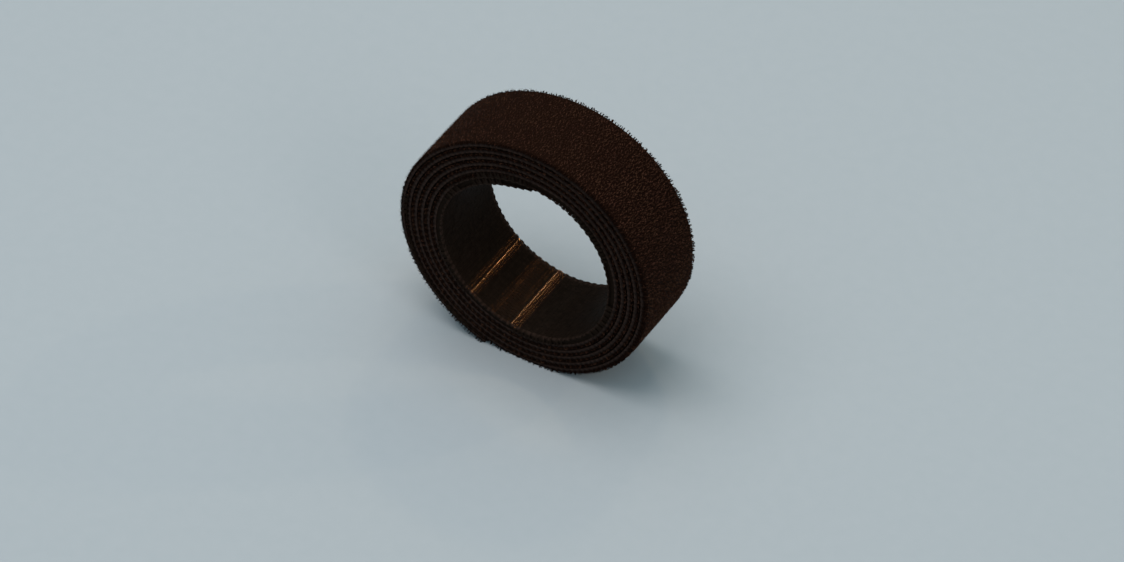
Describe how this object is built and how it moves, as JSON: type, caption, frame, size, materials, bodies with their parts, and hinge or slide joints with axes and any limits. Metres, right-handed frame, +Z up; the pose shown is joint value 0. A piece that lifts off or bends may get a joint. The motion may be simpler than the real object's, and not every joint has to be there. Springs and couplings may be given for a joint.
{
  "type": "hook and loop tape roll",
  "caption": "Coreless roll of double-sided tape, hooks on the inside and loop pile on the outside, that fastens to itself; both free ends peel off and bend.",
  "frame": {"origin": "on the floor flat straight under the roll's axis, at the middle of the tape's width", "axes": "+Z up, Y along the roll's axis, and the pictured side face looks to -Y"},
  "size_m": [0.0622, 0.02, 0.0608],
  "materials": {
    "hook_tape": "rows of fine glossy nylon hooks",
    "bond_film": "thin dull glue layer, hidden but for its edge",
    "loop_tape": "brushed loop pile, dark brown black"
  },
  "bodies": {
    "roll": {"wound_hook_tape": "hook_tape", "wound_bond_film": "bond_film", "wound_loop_tape": "loop_tape"},
    "outer_end_1": {"outer_end_1_hook_tape": "hook_tape", "outer_end_1_bond_film": "bond_film", "outer_end_1_loop_tape": "loop_tape"},
    "outer_end_2": {"outer_end_2_hook_tape": "hook_tape", "outer_end_2_bond_film": "bond_film", "outer_end_2_loop_tape": "loop_tape"},
    "outer_end_3": {"outer_end_3_hook_tape": "hook_tape", "outer_end_3_bond_film": "bond_film", "outer_end_3_loop_tape": "loop_tape"},
    "outer_end_4": {"outer_end_4_hook_tape": "hook_tape", "outer_end_4_bond_film": "bond_film", "outer_end_4_loop_tape": "loop_tape"},
    "outer_end_5": {"outer_end_5_hook_tape": "hook_tape", "outer_end_5_bond_film": "bond_film", "outer_end_5_loop_tape": "loop_tape"},
    "outer_end_6": {"outer_end_6_hook_tape": "hook_tape", "outer_end_6_bond_film": "bond_film", "outer_end_6_loop_tape": "loop_tape"},
    "inner_end_1": {"inner_end_1_hook_tape": "hook_tape", "inner_end_1_bond_film": "bond_film", "inner_end_1_loop_tape": "loop_tape"},
    "inner_end_2": {"inner_end_2_hook_tape": "hook_tape", "inner_end_2_bond_film": "bond_film", "inner_end_2_loop_tape": "loop_tape"},
    "inner_end_3": {"inner_end_3_hook_tape": "hook_tape", "inner_end_3_bond_film": "bond_film", "inner_end_3_loop_tape": "loop_tape"},
    "inner_end_4": {"inner_end_4_hook_tape": "hook_tape", "inner_end_4_bond_film": "bond_film", "inner_end_4_loop_tape": "loop_tape"}
  },
  "joints": [
    {"name": "outer_end_peel", "type": "hinge", "parent": "roll", "child": "outer_end_1", "pos_m": [-0.03073, 0, 0.03247], "axis": [0, 1, 0], "range_deg": [0, 24]},
    {"name": "outer_end_bend_2", "type": "hinge", "parent": "outer_end_1", "child": "outer_end_2", "pos_m": [-0.0307, 0, 0.02601], "axis": [0, 1, 0], "range_deg": [0, 24]},
    {"name": "outer_end_bend_3", "type": "hinge", "parent": "outer_end_2", "child": "outer_end_3", "pos_m": [-0.02927, 0, 0.01971], "axis": [0, 1, 0], "range_deg": [0, 24]},
    {"name": "outer_end_bend_4", "type": "hinge", "parent": "outer_end_3", "child": "outer_end_4", "pos_m": [-0.02651, 0, 0.01385], "axis": [0, 1, 0], "range_deg": [0, 24]},
    {"name": "outer_end_bend_5", "type": "hinge", "parent": "outer_end_4", "child": "outer_end_5", "pos_m": [-0.0226, 0, 0.00871], "axis": [0, 1, 0], "range_deg": [0, 24]},
    {"name": "outer_end_bend_6", "type": "hinge", "parent": "outer_end_5", "child": "outer_end_6", "pos_m": [-0.01772, 0, 0.00448], "axis": [0, 1, 0], "range_deg": [0, 24]},
    {"name": "inner_end_peel", "type": "hinge", "parent": "roll", "child": "inner_end_1", "pos_m": [-0.01498, 0, 0.04585], "axis": [0, 1, 0], "range_deg": [0, 15]},
    {"name": "inner_end_bend_2", "type": "hinge", "parent": "inner_end_1", "child": "inner_end_2", "pos_m": [-0.01125, 0, 0.04851], "axis": [0, 1, 0], "range_deg": [0, 15]},
    {"name": "inner_end_bend_3", "type": "hinge", "parent": "inner_end_2", "child": "inner_end_3", "pos_m": [-0.0071, 0, 0.05042], "axis": [0, 1, 0], "range_deg": [0, 15]},
    {"name": "inner_end_bend_4", "type": "hinge", "parent": "inner_end_3", "child": "inner_end_4", "pos_m": [-0.00267, 0, 0.05151], "axis": [0, 1, 0], "range_deg": [0, 15]}
  ],
  "couplings": [
    {"joint": "outer_end_bend_2", "follows": "outer_end_peel", "ratio": 1},
    {"joint": "outer_end_bend_3", "follows": "outer_end_peel", "ratio": 1},
    {"joint": "outer_end_bend_4", "follows": "outer_end_peel", "ratio": 1},
    {"joint": "outer_end_bend_5", "follows": "outer_end_peel", "ratio": 1},
    {"joint": "outer_end_bend_6", "follows": "outer_end_peel", "ratio": 1},
    {"joint": "inner_end_bend_2", "follows": "inner_end_peel", "ratio": 1},
    {"joint": "inner_end_bend_3", "follows": "inner_end_peel", "ratio": 1},
    {"joint": "inner_end_bend_4", "follows": "inner_end_peel", "ratio": 1}
  ]
}
